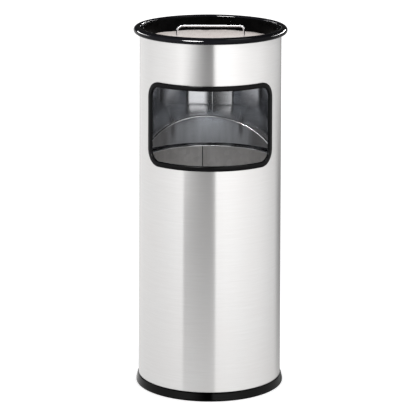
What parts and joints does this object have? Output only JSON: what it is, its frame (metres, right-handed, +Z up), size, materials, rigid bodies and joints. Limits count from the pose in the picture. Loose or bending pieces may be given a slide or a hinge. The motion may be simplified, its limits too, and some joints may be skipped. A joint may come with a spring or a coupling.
{
  "type": "litter bin",
  "caption": "Round free-standing litter bin: steel shell with a wide front aperture, lift-out bucket with a bail, and a lift-out sand ash bowl with a wire handle.",
  "frame": {"origin": "centre of the underside of the foot ring, on the floor", "axes": "+Z is up along the shell axis, and the litter aperture faces -Y, with +X to the right of a person who looks at the aperture"},
  "size_m": [0.268, 0.268, 0.6235],
  "materials": {
    "brushed_stainless": "stainless sheet with a fine grain running round the shell, near-mirror on its inside face",
    "black_plastic": "glossy black moulded plastic",
    "black_rubber": "satin black extruded rubber edging",
    "black_lacquer": "black stoved lacquer on steel",
    "pale_sand": "fine pale quartz sand, loose and matt",
    "chromed_wire": "bright chromed wire",
    "galvanised_steel": "zinc-coated sheet with a soft spangle, semi-bright",
    "zinc_plated": "bright zinc-plated steel wire and small fittings"
  },
  "bodies": {
    "shell": {"outer_shell": "brushed_stainless", "foot_ring": "black_plastic", "base_plate": "galvanised_steel", "top_ring": "black_plastic", "aperture_edging": "black_rubber"},
    "ash_tray": {"ash_bowl": "black_lacquer", "sand_fill": "pale_sand", "ash_handle": "chromed_wire", "handle_washer_left": "zinc_plated", "handle_washer_right": "zinc_plated", "handle_nut_left": "zinc_plated", "handle_nut_right": "zinc_plated"},
    "bucket": {"bucket_wall": "galvanised_steel", "bucket_base": "galvanised_steel", "bucket_rim_wire": "zinc_plated", "bucket_ear_left": "galvanised_steel", "bucket_ear_right": "galvanised_steel", "ear_rivet_left_front": "zinc_plated", "ear_rivet_left_rear": "zinc_plated", "ear_rivet_right_front": "zinc_plated", "ear_rivet_right_rear": "zinc_plated"},
    "bail": {"bucket_bail": "zinc_plated"}
  },
  "joints": [
    {"name": "ash_tray_lift", "type": "slide", "parent": "shell", "child": "ash_tray", "axis": [0, 0, 1], "range_m": [0, 0.12]},
    {"name": "bucket_lift", "type": "slide", "parent": "shell", "child": "bucket", "axis": [0, 0, 1], "range_m": [0, 0.06]},
    {"name": "bail_swing", "type": "hinge", "parent": "bucket", "child": "bail", "pos_m": [0, 0, 0.3899], "axis": [0.9871, 0.1599, 0], "range_deg": [-40.5, 139.5]}
  ]
}
